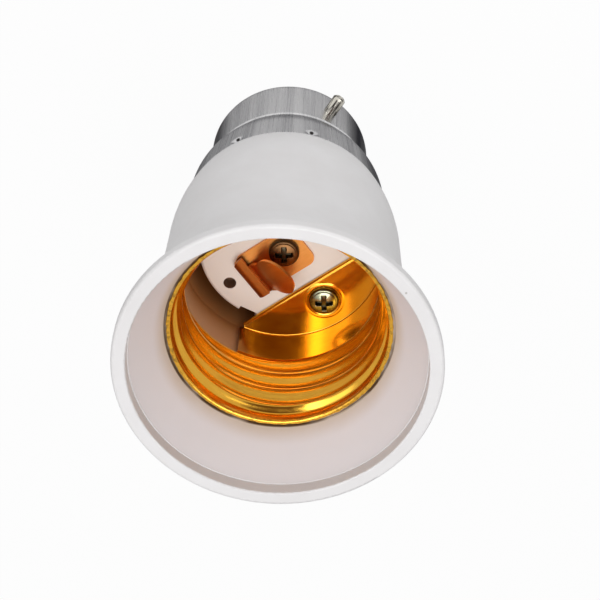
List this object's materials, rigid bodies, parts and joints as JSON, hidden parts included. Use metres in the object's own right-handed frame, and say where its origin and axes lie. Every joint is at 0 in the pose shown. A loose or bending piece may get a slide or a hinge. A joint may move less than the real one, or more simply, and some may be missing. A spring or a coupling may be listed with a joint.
{
  "type": "lamp socket adapter",
  "caption": "Lamp socket adapter with a pinned bayonet cap below and a flared white mouth above that holds a brass screw-thread shell and a sprung centre contact.",
  "frame": {"origin": "on the axis, in the plane of the cap's rolled lip and the two end contacts", "axes": "+Z along the axis from the cap's end to the mouth, +Y towards the thread shell's floor tab, +X along the centre contact's strip"},
  "size_m": [0.0392, 0.0392, 0.0566],
  "materials": {
    "white_moulding": "semi-gloss white moulding",
    "cap_metal": "drawn and brushed along the axis",
    "pin_metal": "plated pin",
    "insulator": "pressed insulating disc",
    "rivet_brass": "bright brass",
    "strap_brass": "rolled brass strip",
    "shell_brass": "bright rolled brass",
    "contact_copper": "copper alloy spring strip",
    "screw_metal": "plated steel"
  },
  "bodies": {
    "root": {"body": "white_moulding", "bayonet_cap": "cap_metal", "bayonet_pin_a": "pin_metal", "bayonet_pin_b": "pin_metal", "end_insulator": "insulator", "shell_end_contact": "rivet_brass", "centre_end_contact": "rivet_brass", "shell_strap": "strap_brass", "centre_strap": "strap_brass", "screw_shell": "shell_brass", "centre_contact": "contact_copper", "shell_screw": "screw_metal", "contact_screw": "screw_metal"}
  },
  "joints": []
}
